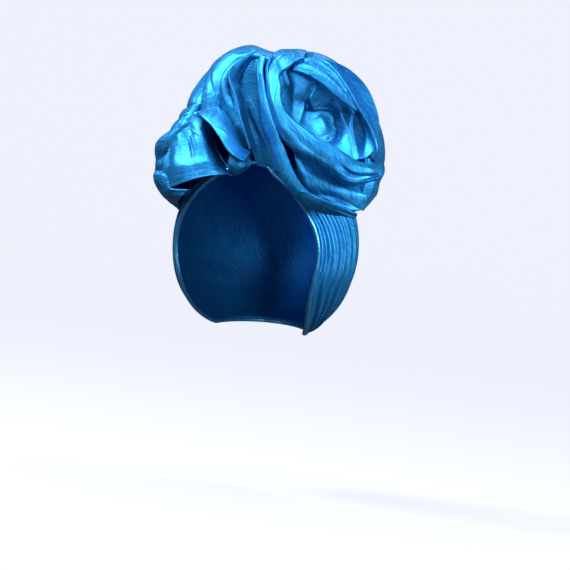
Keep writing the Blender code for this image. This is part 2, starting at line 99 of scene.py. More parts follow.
def linear(hexcode):
    """An sRGB hex colour as linear RGBA: the power curve above 0.04045, the straight line below it."""
    value = np.array([int(hexcode[k : k + 2], 16) for k in (1, 3, 5)]) / 255
    curved = ((value + 0.055) / 1.055) ** 2.4
    return tuple(float(v) for v in np.where(value <= 0.04045, value / 12.92, curved)) + (1.0,)


def add_node(tree, kind, inputs=None, **settings):
    """Adds one node, sets its properties and inputs, links each input that is given as a node (from its
    first live output) or as a socket, and returns the node."""
    made = tree.nodes.new(kind)
    for name, value in settings.items():
        setattr(made, name, value)
    for name, value in (inputs or {}).items():
        if isinstance(name, int):
            socket = made.inputs[name]
        else:
            socket = next(s for s in made.inputs if s.name == name and s.enabled)
        if isinstance(value, bpy.types.Node):
            value = next(s for s in value.outputs if s.enabled)
        if isinstance(value, bpy.types.NodeSocket):
            tree.links.new(value, socket)
        else:
            socket.default_value = value
    return made


def read_rows(rows, count):
    """A table read at even steps of its path (columns 1 to 3): a cubic Hermite curve in each column,
    with each row's slope taken from its neighbours."""
    rows = np.array(rows, float)
    at = np.concatenate([[0.0], np.cumsum(np.linalg.norm(np.diff(rows[:, :3], axis=0), axis=1))])
    slope = np.gradient(rows, at, axis=0)
    here = np.linspace(0.0, at[-1], count)
    k = np.clip(np.searchsorted(at, here, side="right") - 1, 0, len(at) - 2)
    span = (at[k + 1] - at[k])[:, None]
    s = (here - at[k])[:, None] / span
    first = (1 + 2 * s) * (1 - s) ** 2 * rows[k] + s * (1 - s) ** 2 * span * slope[k]
    second = s**2 * (3 - 2 * s) * rows[k + 1] + s**2 * (s - 1) * span * slope[k + 1]
    return first + second


def facing(grid):
    """Unit normals of a grid of points: the cross product of its two runs at each point."""
    return unit(np.cross(np.gradient(grid, axis=0), np.gradient(grid, axis=1)))


def on_egg(direction, stand):
    """The egg's centre plus the direction times its half sizes grown by the stand-off."""
    return EGG_CENTRE_MM + direction * (EGG_HALF_MM + np.asarray(stand)[..., None])


def to_egg(points):
    """The direction from the egg's centre, with each axis divided by its half size."""
    return unit((points - EGG_CENTRE_MM) / EGG_HALF_MM)


def cap_directions(along, over):
    """Directions of a grid of hoops over the egg: each hoop is the arc cut from it by the plane through
    its two side points and its middle point, walked by equal angles."""
    table = read_rows(CAP_HOOPS, along)
    side = to_egg(table[:, :3])
    middle = to_egg(np.stack([0 * table[:, 3], table[:, 3], table[:, 4]], axis=1))
    lean = unit(middle - side * np.array([0.0, 1.0, 1.0]))
    upright = unit(np.cross([[1.0, 0.0, 0.0]], lean))
    centre = upright * np.sum(upright * middle, axis=1, keepdims=True)
    radius = np.linalg.norm(middle - centre, axis=1)
    lean = lean * np.sign(np.sum((middle - centre) * lean, axis=1))[:, None]
    reach = np.arctan2(side[:, 0], np.sum((side - centre) * lean, axis=1))
    angle = over[None, :] * reach[:, None]
    across = np.sin(angle)[..., None] * np.array([1.0, 0.0, 0.0])
    return centre[:, None, :] + radius[:, None, None] * (across + np.cos(angle)[..., None] * lean[:, None, :])


def sheet_object(name, grid, cloth_mm, material, ring=False, thick=CLOTH_MM, back=None):
    """A mesh of one quad per grid cell, with the cloth's own millimetres kept as an attribute. A back
    grid shares the border and closes the body; without one, Solidify gives the thickness inwards."""
    rows, columns = grid.shape[:2]
    index = np.arange(rows * columns).reshape(rows, columns)
    points, kept = grid.reshape(-1, 3), cloth_mm.reshape(-1, 3)
    sides = [np.concatenate([index, index[:1]]) if ring else index]
    if back is not None:
        behind = index.copy()
        behind[1:-1, 1:-1] = rows * columns + np.arange((rows - 2) * (columns - 2)).reshape(rows - 2, -1)
        points = np.concatenate([points, back[1:-1, 1:-1].reshape(-1, 3)])
        kept = np.concatenate([kept, cloth_mm[1:-1, 1:-1].reshape(-1, 3)])
        sides.append(behind[:, ::-1])
    quads = np.concatenate(
        [np.stack([s[:-1, :-1], s[1:, :-1], s[1:, 1:], s[:-1, 1:]], axis=-1).reshape(-1, 4) for s in sides]
    )
    mesh = bpy.data.meshes.new(name)
    mesh.vertices.add(len(points))
    mesh.vertices.foreach_set("co", (points * 0.001).astype(np.float32).ravel())
    mesh.loops.add(quads.size)
    mesh.loops.foreach_set("vertex_index", quads.astype(np.int32).ravel())
    mesh.polygons.add(len(quads))
    mesh.polygons.foreach_set("loop_start", np.arange(0, quads.size, 4, dtype=np.int32))
    mesh.update(calc_edges=True)
    mesh.shade_smooth()
    lain = mesh.attributes.new("cloth_mm", "FLOAT_VECTOR", "POINT")
    lain.data.foreach_set("vector", kept.astype(np.float32).ravel())
    mesh.materials.append(material)
    made = bpy.data.objects.new(name, mesh)
    bpy.context.scene.collection.objects.link(made)
    if back is None:
        wall = made.modifiers.new("cloth_thickness", "SOLIDIFY")
        wall.thickness = thick * 0.001
        wall.offset = -1.0
    return made


def laid_out(grid):
    """How far each grid point lies along and across the cloth, in millimetres: running sums of the
    steps between neighbours."""
    down = np.linalg.norm(np.diff(grid, axis=0), axis=2)
    over = np.linalg.norm(np.diff(grid, axis=1), axis=2)
    u = np.concatenate([np.zeros((1, grid.shape[1])), np.cumsum(down, axis=0)])
    v = np.concatenate([np.zeros((grid.shape[0], 1)), np.cumsum(over, axis=1)], axis=1)
    return u, v


def declare(piece, node):
    """Fixes a piece in the frame and hides the node of the imported model that it stands for."""
    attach(piece, "root")
    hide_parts(node)


def dupioni(name, deep, lit, slub, rough):
    """Dupioni taffeta, a crisp plain weave of filament yarn with thick and thin weft: the eye sees a
    satin gloss in the colour of the cloth, broken by short pale streaks that lie along the weft. The
    slubs are stretched noise, mixed in by half their height; gloss and relief follow them. The gloss of
    filament yarn takes the colour of the cloth, as a metal's does, so the metallic value is high."""
    material = bpy.data.materials.new(name)
    material.use_nodes = True
    tree = material.node_tree
    tree.nodes.clear()
    cloth = add_node(tree, "ShaderNodeAttribute", attribute_name="cloth_mm").outputs["Vector"]
    weft_way = add_node(
        tree, "ShaderNodeMapping", {"Vector": cloth, "Scale": (1 / SLUB_THICK_MM, 1 / SLUB_LONG_MM, 1.0)}
    )
    warp_way = add_node(
        tree, "ShaderNodeMapping", {"Vector": cloth, "Scale": (1 / WARP_LONG_MM, 1 / YARN_MM, 1.0)}
    )
    noise = "ShaderNodeTexNoise"
    weft = add_node(tree, noise, {"Vector": weft_way, "Scale": 1.0, "Detail": 3.0, "Roughness": 0.6})
    warp = add_node(tree, noise, {"Vector": warp_way, "Scale": 1.0, "Detail": 2.0, "Roughness": 0.5})
    cloudy = add_node(tree, noise, {"Vector": cloth, "Scale": 1 / CLOUD_MM, "Detail": 2.0, "Roughness": 0.5})
    ranged = "ShaderNodeMapRange"
    slubs = add_node(tree, ranged, {"Value": weft, "From Min": 0.46, "From Max": 0.78})
    yarns = add_node(tree, ranged, {"Value": warp, "From Min": 0.3, "From Max": 0.75})
    body = add_node(
        tree, "ShaderNodeMix", {"Factor": cloudy, "A": linear(lit), "B": linear(deep)}, data_type="RGBA"
    )
    share = add_node(tree, "ShaderNodeMath", {0: slubs, 1: 0.5}, operation="MULTIPLY")
    streaked = add_node(
        tree, "ShaderNodeMix", {"Factor": share, "A": body, "B": linear(slub)}, data_type="RGBA"
    )
    gloss = add_node(tree, ranged, {"Value": slubs, "To Min": rough, "To Max": rough + 0.18})
    heights = add_node(tree, "ShaderNodeMath", {0: slubs, 1: yarns}, operation="ADD")
    relief = add_node(tree, "ShaderNodeBump", {"Height": heights, "Strength": 0.35, "Distance": RELIEF_M})
    shader = add_node(
        tree,
        "ShaderNodeBsdfPrincipled",
        {"Base Color": streaked, "Roughness": gloss, "Normal": relief, "Metallic": 0.8},
    )
    add_node(tree, "ShaderNodeOutputMaterial", {"Surface": shader})
    return material


azure_dupioni = dupioni("azure_dupioni_taffeta", TAFFETA_DEEP, TAFFETA_LIT, TAFFETA_SLUB, TAFFETA_ROUGH)

# Each knife pleat stands up at once behind its lip and falls away to the next; the pleats are lower
# where they start and end, and slow ripples flow over them.
over = np.linspace(-1.0, 1.0, HOOP_POINTS)
cap_way = cap_directions(HOOP_COUNT, over)
edge_share = 1.0 - np.abs(over)
starts = np.array([row[0] for row in CAP_PLEATS])
rises = np.array([row[1] for row in CAP_PLEATS])
k = np.clip(np.searchsorted(starts, edge_share, side="right") - 1, 0, len(starts) - 2)
inside = (edge_share - starts[k]) / (starts[k + 1] - starts[k])
falling = (1.0 - np.clip(inside, 0, 1)) ** 0.8
pleat = rises[k] * falling * (1.0 - np.exp(-inside / PLEAT_LIP_SHARE)) * PLEAT_GROWTH
gather = np.linspace(0.0, 1.0, HOOP_COUNT)[:, None]
flow = 0.35 * np.sin(9 * gather + 40 * over[None, :]) + 0.25 * np.sin(17 * gather - 63 * over[None, :])
cap_stand = CLOTH_MM + pleat[None, :] * (0.45 + 0.55 * np.sin(math.pi * gather) ** 0.5) + flow * FLOW_MM
cap_grid = on_egg(cap_way, cap_stand)
along_mm, across_mm = laid_out(cap_grid)
cap_mm = np.stack([across_mm, along_mm, 0 * along_mm + 3.0], axis=-1)
cap = sheet_object("dressed_head_cap", cap_grid, cap_mm, azure_dupioni, back=on_egg(cap_way, 0.0))
declare(cap, "head_cap")

# The piping along the cap's front edge
# A bias strip of the same taffeta rolled tight over the cap's cut edge and sewn down all round.
# Its colours are painted paler than the cap's taffeta, a painted highlight along the rolled edge, so it shows
# as one thin pale line.
PIPING_MM = 1.3
PIPING_STAND_MM = 1.4
PIPING_ROUGH = 0.28


def border(grid):
    """The border points of a grid, walked once round, with the way the cloth ends at each."""
    points = np.concatenate([grid[0, :-1], grid[:-1, -1], grid[-1, :0:-1], grid[:0:-1, 0]])
    inner = np.concatenate([grid[1, :-1], grid[:-1, -2], grid[-2, :0:-1], grid[:0:-1, 1]])
    return points, unit(points - inner)


def smoothed(ring, times):
    """Each point of a closed ring set to a quarter, a half and a quarter of itself and its neighbours."""
    for _ in range(times):
        ring = (np.roll(ring, 1, axis=0) + 2 * ring + np.roll(ring, -1, axis=0)) / 4
    return ring


# A tube round the smoothed border of the cap: at each point a circle in the plane across its run.
edge, away = border(on_egg(cap_way, PIPING_STAND_MM)[::3, ::4])
away = unit(smoothed(away, 6))
core = smoothed(edge + away * (PIPING_MM * 0.8), 6)
heading = unit(np.roll(core, -1, axis=0) - np.roll(core, 1, axis=0))
outward = unit(away - heading * np.sum(away * heading, axis=1, keepdims=True))
beside = np.cross(heading, outward)
spin = np.linspace(0.0, 2 * math.pi, 17)
tube = core[:, None, :] + PIPING_MM * (
    np.cos(spin)[None, :, None] * outward[:, None, :] + np.sin(spin)[None, :, None] * beside[:, None, :]
)
run = np.concatenate([[0.0], np.cumsum(np.linalg.norm(np.diff(core, axis=0), axis=1))])[:, None]
piping_mm = np.stack([run + 0 * spin, PIPING_MM * spin + 0 * run, 0 * run + 0 * spin], axis=-1)
# The piping's three colours are painted paler than the cap's: a painted highlight on the rolled edge.
piping_painted_highlight_taffeta = dupioni("azure_piping_taffeta_painted_highlight", "#1A86D2", "#4DB8F4", "#B5E6FC", PIPING_ROUGH)
piping = sheet_object("dressed_face_piping", tube, piping_mm, piping_painted_highlight_taffeta, ring=True, thick=0.5)
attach(piping, "root")
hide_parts("face_piping")

# The side pouch at the left of the picture
# A loose pouch of doubled taffeta, gathered behind the petal and sewn to the side of the cap.
# It hangs in shade, soft and dark, with a few deep dents.
HEM_STAND_MM = 3.2
HEM_UNDER_MM = 8.0
EASING_PASSES = 240
ROLL_ANGLE = math.radians(165.0)
RIPPLE_WAVES_MM = (9.0, 26.0)
STRAIN_WAVES_MM = (3.5, 7.0)
CREASE_HALF_LONG_MM = (4.0, 14.0)
CREASE_HALF_WIDE_MM = (0.7, 1.4)
CREASE_RISE_MM = (0.15, 0.5)
PIECE_SHIFT_MM = 17.0
# The picture's own axes: turned about the upright and leaning, from the rosette's heart.
DISPLAY_TURN = math.radians(18.0)
DISPLAY_LEAN = math.radians(7.5)
SIDEWAYS = np.array([math.cos(DISPLAY_TURN), math.sin(DISPLAY_TURN), 0.0])
UPRIGHT = np.array([0.0, 0.0, 1.0])
OUT = np.array([math.sin(DISPLAY_TURN), -math.cos(DISPLAY_TURN), 0.0])
ACROSS = math.cos(DISPLAY_LEAN) * SIDEWAYS + math.sin(DISPLAY_LEAN) * UPRIGHT
UP = -math.sin(DISPLAY_LEAN) * SIDEWAYS + math.cos(DISPLAY_LEAN) * UPRIGHT
HEART = 22.0 * SIDEWAYS + 37.6 * UPRIGHT + 60.0 * OUT
ROSETTE_SLOPE = 0.38


def displayed(points):
    """Points as the picture has them (across, up, out from the rosette's sloping plane), in the row
    frame: the heart plus each part times its own axis, the plane leaning back as it rises."""
    across, up, out = points[..., 0:1], points[..., 1:2], points[..., 2:3]
    return HEART + across * ACROSS + up * UP + (out - ROSETTE_SLOPE * up) * OUT


def as_displayed(points):
    """The other way round: the row frame's points as across, up and out."""
    from_heart = points - HEART
    across, up = from_heart @ ACROSS, from_heart @ UP
    return np.stack([across, up, from_heart @ OUT + ROSETTE_SLOPE * up], axis=-1)


def folded(grid, folds):
    """Raises or sinks a cloth along folds seen from the front. Each fold is a curve through three
    points; its rise falls off as a bell over its own width on the left and on the right of its run,
    tapers to its ends, and counts only where the cloth faces the front."""
    seen = as_displayed(grid)[..., :2]
    normal = facing(grid)
    front = np.clip(normal @ OUT * 2.5 + 0.3, 0.0, 1.0)
    q = np.linspace(0.0, 1.0, 15)[:, None]
    lift = np.zeros(grid.shape[:2])
    for a0, b0, a1, b1, a2, b2, left, right, rise in folds:
        start, end = np.array([a0, b0]), np.array([a2, b2])
        bend = 2 * np.array([a1, b1]) - (start + end) / 2
        curve = (1 - q) ** 2 * start + 2 * q * (1 - q) * bend + q**2 * end
        run = np.diff(curve, axis=0)
        apart = seen[:, :, None, :] - curve[:-1]
        share = np.clip(np.sum(apart * run, axis=3) / np.sum(run**2, axis=1), 0.0, 1.0)
        apart = apart - share[..., None] * run
        distance = np.linalg.norm(apart, axis=3)
        turned_left = run[:, 0] * apart[..., 1] - run[:, 1] * apart[..., 0] > 0
        nearest = distance.argmin(axis=2)[..., None]
        along = (nearest + np.take_along_axis(share, nearest, 2))[..., 0] / len(run)
        half = np.where(np.take_along_axis(turned_left, nearest, 2)[..., 0], left, right)
        taper = np.sin(math.pi * (0.06 + 0.88 * along)) ** 0.6
        lift += rise * taper * np.exp(-((distance.min(axis=2) / half) ** 1.6))
    return grid + normal * (lift * front)[..., None]


def crumpled(grid, seed, ripple, creases, strain=0.0):
    """Small life for a crisp cloth: slow ripples that run along the piece, finer lines of strain beside
    them, and short creases scattered by a seeded draw, each a bell across a short line on the cloth."""
    draw = np.random.default_rng(seed)
    u, v = laid_out(grid)
    wide, long = v[:, -1].mean(), u[-1].mean()
    lift = np.zeros(grid.shape[:2])
    for size, waves in ((ripple, RIPPLE_WAVES_MM), (strain, STRAIN_WAVES_MM)):
        for _ in range(5):
            wave = draw.uniform(*waves)
            swell = 0.5 + 0.5 * np.sin(u / draw.uniform(14, 40) + draw.uniform(0, 6.28))
            slant = draw.uniform(-0.2, 0.2)
            lift += size / 2.2 * swell * np.sin(2 * math.pi * (v + slant * u) / wave + draw.uniform(0, 6.28))
    for _ in range(creases):
        du, dv = u - draw.uniform(0.03, 0.97) * long, v - draw.uniform(0.05, 0.95) * wide
        turn = draw.normal(0.0, 0.4)
        along = du * math.cos(turn) + dv * math.sin(turn)
        beside = dv * math.cos(turn) - du * math.sin(turn) + 0.01 * along**2 * draw.uniform(-1, 1)
        half_long, half_wide = draw.uniform(*CREASE_HALF_LONG_MM), draw.uniform(*CREASE_HALF_WIDE_MM)
        bell = np.exp(-((along / half_long) ** 2) - (beside / half_wide) ** 2)
        lift += draw.uniform(*CREASE_RISE_MM) * bell
    return grid + facing(grid) * lift[..., None]


def turned_under(face, radius, hem, side=1.0):
    """Cloth rolled back over the first column of a face: most of a half circle of that radius from the
    face round to its back, then a straight hem under it, in the order that leads up to the face. The
    side is -1 for a face whose columns run the other way."""
    normal = side * facing(face)[:, 0]
    past = face[:, 0] - face[:, 1]
    past = unit(past - normal * np.sum(past * normal, axis=1, keepdims=True))
    turn = np.linspace(0.0, ROLL_ANGLE, 8)[1:, None, None]
    roll = face[:, 0] - normal * radius + radius * (np.cos(turn) * normal + np.sin(turn) * past)
    under = math.cos(ROLL_ANGLE) * past - math.sin(ROLL_ANGLE) * normal
    tail = roll[-1] + under * hem * np.linspace(0.0, 1.0, 4)[1:, None, None]
    return np.concatenate([roll, tail])[::-1].transpose(1, 0, 2)


def pouch(rows, along, deep, full, roll):
    """A bag between three edges, its gathered front, its outline and its hem on the cap: from each edge
    to the outline it follows a quarter of an ellipse, mixed with a straight line by 1 - full, then each
    line is eased by running means with its neighbours, and the front edge is rolled under."""
    table = read_rows([tuple(row[3:6]) + tuple(row[0:3]) + tuple(row[6:9]) for row in rows], along)
    crest = displayed(table[:, None, 0:3])
    front = displayed(table[:, None, 3:6])
    hem = on_egg(to_egg(table[:, 6:9]), HEM_STAND_MM)[:, None, :]
    ahead = int(deep * 0.6)
    turned = np.concatenate(
        [np.linspace(0.0, math.pi / 2, ahead), np.linspace(math.pi / 2, math.pi, deep - ahead + 1)[1:]]
    )[None, :, None]
    before = turned <= math.pi / 2 + 1e-6
    start = np.where(before, front, hem)
    quarter = np.where(before, turned, math.pi - turned)
    spread = full * np.sin(quarter) + (1 - full) * quarter / (math.pi / 2)
    depth = full * (1 - np.cos(quarter)) + (1 - full) * quarter / (math.pi / 2)
    way = crest - start
    deepward = np.sum(way * OUT, axis=2, keepdims=True) * OUT
    grid = start + (way - deepward) * spread + deepward * depth
    for _ in range(EASING_PASSES):
        grid[:, 1:-1] = (grid[:, :-2] + 2 * grid[:, 1:-1] + grid[:, 2:]) / 4
    if np.mean(facing(grid)[:, :ahead] @ OUT) < 0:
        grid = grid[::-1]
    return np.concatenate([turned_under(grid, roll, HEM_UNDER_MM), grid], axis=1)


def gathered(grid, count, rise, sharp, drift, first, last):
    """Gathers that run from edge to edge of a bag: a cosine of the way along it, its valleys narrowed
    by a power, growing from the first share of the way back to the last and dying away at the hem."""
    rows, columns = grid.shape[:2]
    s = np.linspace(0.0, 1.0, rows)[:, None]
    t = np.linspace(0.0, 1.0, columns)[None, :]
    wander = count * (s + drift * np.sin(3 * t + 5 * s)) + 0.3 * np.sin(7 * s)
    wave = np.abs(np.cos(math.pi * wander)) ** sharp
    grown = np.clip((t - first) / (last - first), 0.0, 1.0) * np.clip((1.0 - t) / 0.12, 0.0, 1.0)
    return grid + facing(grid) * (rise * (wave - 0.5) * grown)[..., None]


def cloth_piece(grid, node, place):
    """One finished piece of taffeta that stands for one node of the frame. It is cut from its own place
    in the bolt, so no two pieces show the same slubs."""
    u, v = laid_out(grid)
    lain = np.stack([u, v, 0 * u + place * PIECE_SHIFT_MM], axis=-1)
    declare(sheet_object("dressed_" + node, grid, lain, azure_dupioni), node)


# columns of the pouch and of the bag: front_across, front_up, front_out, crest_across, crest_up,
# crest_out, hem_x, hem_y, hem_z
SIDE_POUCH = (
    (-96, 2, -14, -109.5, -2, -46, -62, 0, -44),
    (-104, -14, -20, -122, -20, -54, -65, 12, -50),
    (-108, -30, -26, -135, -33, -60, -68, 14, -55),
    (-112, -46, -28, -136, -46, -62, -70, 12, -60),
    (-118, -60, -32, -136, -62, -62, -71, 4, -65),
    (-120, -70, -34, -127, -74, -60, -71, -10, -68),
    (-104, -72, -24, -114, -82, -50, -70, -26, -66),
)
# columns of every table of folds: across_0, up_0, across_1, up_1, across_2, up_2, left_mm, right_mm,
# rise_mm
SIDE_FOLDS = (
    (-112, -37, -124, -39, -135, -48, 4, 3, -4.0),
    (-106, -12, -114, -22, -131, -30, 7, 5, 2.5),
    (-116, -58, -127, -54, -137, -56, 2, 4, -4.0),
    (-108, -22, -112, -34, -118, -52, 3, 3, -2.0),
)
grid = pouch(SIDE_POUCH, along=160, deep=120, full=0.85, roll=2.0)
grid = gathered(grid, count=4, rise=3.0, sharp=0.8, drift=0.1, first=0.25, last=0.7)
grid = crumpled(folded(grid, SIDE_FOLDS), seed=3, ripple=0.5, creases=14)
cloth_piece(grid, "side_puff", place=3)

# The bag over the crown
# A full bag of taffeta gathered hard at the knot in front and sewn down round the back of the cap.
# Two broad lobes roll down from the knot at the left, and smaller gathers go on round the back.
CROWN_BAG = (
    (-80, -10, -6, -103, -14, -44, -60, -22, -42),
    (-79, 6, -4, -106, 6, -56, -66, 6, -46),
    (-76, 22, -3, -96, 27, -62, -60, 42, -48),
    (-67, 35, -3, -84, 41, -62, -44, 66, -50),
    (-58, 43, 0, -66, 52, -58, -22, 80, -50),
    (-47, 44, 3, -51, 56, -56, 0, 84, -50),
    (-30, 40, 4, -32, 50, -58, 22, 80, -50),
    (0, 36, 4, 0, 44, -60, 44, 66, -50),
    (27, 24, 2, 32, 30, -58, 58, 44, -50),
    (42, 4, -2, 50, 6, -50, 66, 16, -50),
    (50, -24, -6, 57, -28, -38, 66, -10, -52),
    (46, -52, -14, 50, -56, -30, 60, -34, -54),
)
CROWN_FOLDS = (
    (-85, 41, -92, 26, -96, -4, 1.6, 7.0, -6.0),
    (-45, 50, -72, 42, -87, 8, 7.0, 6.0, 2.5),
    (-85, 36, -84.5, 25, -82.5, 12, 1.2, 2.6, -1.4),
    (-99, 16, -102, 4, -103, -8, 4.0, 5.0, 2.0),
    (-36, 48, -48, 49, -60, 45, 1.4, 3.0, -2.2),
    (-34, 50, -44, 53, -58, 53, 1.4, 2.4, -1.4),
)
grid = pouch(CROWN_BAG, along=262, deep=170, full=0.92, roll=3.0)
grid = gathered(grid, count=9, rise=4.0, sharp=0.8, drift=0.06, first=0.5, last=0.75)
grid = crumpled(folded(grid, CROWN_FOLDS), seed=5, ripple=0.35, creases=26, strain=0.04)
cloth_piece(grid, "crown_puff", place=5)

# The fold and the ridge beside the bag
# One narrow length of the same cloth, pinched to a sharp edge that runs down from the knot; it falls
# away to the left and runs in under the petal and the bag.


def swathe(rows, along, across, peak=1.0, full=1.0, inner_roll=None, outer_roll=None):
    """A band of cloth between two edges: the straight line across it, plus its belly along the normal
    times the sine of the way across (raised to full, its peak moved by a power), its edges rolled under
    by a radius and a hem."""
    table = read_rows(rows, along)
    inner, outer, belly = table[:, None, 0:3], table[:, None, 3:6], table[:, None, 6:7]
    over = (0.5 - 0.5 * np.cos(np.linspace(0.0, math.pi, across)))[None, :, None]
    chord = unit(outer - inner)
    heading = unit(np.gradient(table[:, 0:3] + table[:, 3:6], axis=0))[:, None, :]
    stand = unit(np.cross(heading, chord))
    stand = stand * np.sign(np.mean(stand[..., 2]))
    face = displayed(inner + (outer - inner) * over + belly * np.sin(math.pi * over**peak) ** full * stand)
    if np.mean(facing(face) @ OUT) < 0:
        face = face[::-1]
    parts = [face]
    if inner_roll:
        parts.insert(0, turned_under(face, *inner_roll))
    if outer_roll:
        parts.append(turned_under(face[:, ::-1], *outer_roll, side=-1.0)[:, ::-1])
    return np.concatenate(parts, axis=1)


# columns of every band, here and below: inner_across, inner_up, inner_out, outer_across, outer_up,
# outer_out, belly
CROWN_FOLD = (
    (-52, 43, 2, -62, 44, -8, 1),
    (-62, 32, 2, -76, 27, -11, 2),
    (-66, 22, 1, -81, 15, -13, 3),
    (-63, 10, 1, -82, 2, -14, 3),
    (-59, -3, 1, -77, -9, -13, 3),
    (-55, -18, 0, -69, -22, -12, 2),
    (-50, -34, -4, -60, -36, -13, 1),
)
CROWN_FOLD_CREASES = (
    (-52, 41, -72, 24, -68, -2, 3.0, 4.0, 3.0),
    (-67, 24, -68, 14, -62, 0, 2.0, 2.0, -2.0),
)
grid = folded(swathe(CROWN_FOLD, along=220, across=60), CROWN_FOLD_CREASES)
grid = crumpled(grid, seed=7, ripple=0.2, creases=4, strain=0.03)
cloth_piece(grid, "crown_fold", place=7)
CROWN_RIDGE = (
    (-46.5, 48.5, 4, -44, 44, -2, 0.5),
    (-57.5, 40, 7, -52.5, 37, 0, 1),
    (-67.5, 31, 8, -58.5, 26.5, -1, 2),
    (-68, 22.5, 8, -60.5, 20, -1, 2),
    (-64.5, 13, 8, -58, 13, -2, 1.5),
    (-61, 2.5, 8, -55.5, 4.5, -3, 1),
    (-58, -11, 8, -53, -9.5, -4, 1),
    (-53.5, -25, 7, -49, -23.5, -6, 1),
    (-50, -37, 4, -45, -36, -9, 1),
)
grid = swathe(CROWN_RIDGE, along=240, across=34, inner_roll=(1.0, 4.0))
grid = crumpled(grid, seed=8, ripple=0.3, creases=8)
cloth_piece(grid, "crown_ridge", place=8)

# The drape
# A broad smooth panel pulled down from the knot and tucked under the rosette's outer band.
# It turns its back on the lights, so it is the darkest of the front, with one long slack fold.
DRAPE = (
    (-38, 44, 4, -45, 45, 1, 1),
    (-41.5, 31, 1, -57, 30, -2, 1.5),
    (-39.5, 16.5, -3, -62, 16.5, -6, 2),
    (-36, 1, -6, -60, 1, -8, 2),
    (-33, -14.5, -8, -56, -13, -10, 2),
    (-30, -28.5, -11, -53, -26.5, -12, 2),
    (-27.5, -41.5, -14, -49, -39, -15, 2),
    (-25, -56, -17, -45, -51, -18, 1),
)
DRAPE_FOLDS = (
    (-54, -4, -44, -26, -31, -50, 3.0, 6.0, -2.5),
)
grid = folded(swathe(DRAPE, along=260, across=80), DRAPE_FOLDS)
grid = crumpled(grid, seed=9, ripple=0.2, creases=6, strain=0.03)
cloth_piece(grid, "centre_drape", place=9)

# The petal at the left
# A wide square of doubled taffeta, pulled up to a point and left open as a pocket at its inner side.
# Its edge folds over to a bright strip that ends in a curled tip, with a small lobe tucked below.
PETAL_EDGE = (
    (-80, 0, -8, -96, -5, -12, 0.5),
    (-77, -2, 2, -92, -8, 4, 1),
    (-72, -7, 5, -84, -15, 13, 1.5),
    (-66, -16, 7, -75.5, -26.5, 19, 2),
    (-60.5, -27, 8, -68, -38, 22, 2),
    (-56, -36, 7, -61.5, -43.5, 23, 2),
    (-50, -40, 4, -55, -47, 20, 2),
)
grid = swathe(PETAL_EDGE, along=200, across=50, inner_roll=(1.2, 4.0), outer_roll=(1.3, 5.0))
grid = crumpled(grid, seed=11, ripple=0.2, creases=4, strain=0.03)
cloth_piece(grid, "petal_flap", place=11)
PETAL_LOBE = (
    (-51, -38, 8, -66, -37, 19, 1),
    (-51, -44, 6, -68, -44, 14, 3),
    (-50, -50, 5, -69, -50, 12, 4),
    (-55, -56, 2, -68, -56, 6, 3),
    (-60, -58, -9, -69, -58, -9, 1),
)
grid = crumpled(swathe(PETAL_LOBE, along=90, across=60), seed=12, ripple=0.3, creases=6)
cloth_piece(grid, "petal_tuck", place=12)
PETAL = (
    (-88, -5, -10, -106, -6, -20, 1),
    (-81, -14.5, -15, -113.5, -16.5, -26, 6),
    (-74.5, -26.5, -18, -118, -28.5, -31, 11),
    (-68.5, -38, -19, -122.5, -40.5, -35, 14),
    (-64, -47.5, -17, -126, -53.5, -38, 16),
    (-64, -57, -11, -124, -71.5, -39, 12),
)
PETAL_FOLDS = (
    (-97, -8, -104.5, -27, -100, -54, 5.0, 6.0, -2.2),
    (-93, -14, -90, -30, -87, -46, 6.0, 6.0, 2.0),
    (-83, -10, -72.5, -35, -63, -55, 12.0, 7.0, -13.0),
    (-108, -14, -113, -34, -117, -58, 5.0, 5.0, 1.2),
)
# The petal's lower edge is rolled under too, worked out with its rows and columns changed over.
grid = folded(swathe(PETAL, along=220, across=180, peak=0.85), PETAL_FOLDS)
grid = crumpled(grid, seed=13, ripple=0.25, creases=8)
upside_down = grid.transpose(1, 0, 2)[:, ::-1]
belly_side = np.sign(np.mean(facing(upside_down) @ OUT))
under = turned_under(upside_down, radius=3.0, hem=10.0, side=belly_side)
grid = np.concatenate([grid, under[:, ::-1].transpose(1, 0, 2)])
cloth_piece(grid, "front_petal", place=13)

# The heart of the rosette
# The wound strip's inner end, pushed into a bowl and twisted once about its eye.
# Soft lobes turn round the eye, and sharp bright creases show where the cloth was pinched.
# angle_deg, reach, rim_out
HEART_BOWL = (
    (0, 55, 17),
    (30, 47, 20),
    (60, 41, 21),
    (90, 39, 19),
    (120, 38, 19),
    (150, 33, 21),
    (180, 28, 23),
    (210, 27, 25),
    (240, 32, 25),
    (270, 40, 24),
    (300, 56, 18),
    (320, 69, 12),
    (340, 63, 14),
)
HEART_EYE = (-1.0, 1.0, 4.0)
HEART_FOLDS = (
    (-22, 34, -20, 25, -17.5, 17, 1.6, 1.6, 1.3),
    (-17.5, 17, -22, 9, -25, -3, 1.6, 3.0, 1.5),
    (6, 19.5, -2, 7.5, -9.5, -17.5, 1.5, 2.2, 1.5),
    (-13, 14, -14, 0, -15, -14, 4.0, 4.0, -2.5),
    (-2, 5, -1.5, 0.5, 1.5, -2.5, 1.4, 1.6, -6.0),
    (2, -3.5, 10, 0, 18, 3.5, 1.4, 2.2, 1.3),
    (2, -4, 18, -3, 22.5, -16, 3.5, 1.4, -4.5),
    (22.5, -16, 24, -25, 17, -30, 4.0, 1.4, -5.0),
    (7, -10, 11, -18, 14, -26, 7.0, 7.0, 3.5),
    (24, -5, 31, -20, 34, -37, 5.0, 6.0, 3.0),
    (38.5, -4.5, 36, -18, 39.5, -45.5, 5.0, 1.2, 3.0),
    (46, -12, 53, -27, 53.5, -43, 2.2, 2.0, 3.2),
    (45, -15, 46.5, -28, 45, -42, 3.5, 3.5, -2.5),
    (56, -20, 58, -33, 54, -45, 3.0, 3.0, -4.0),
)


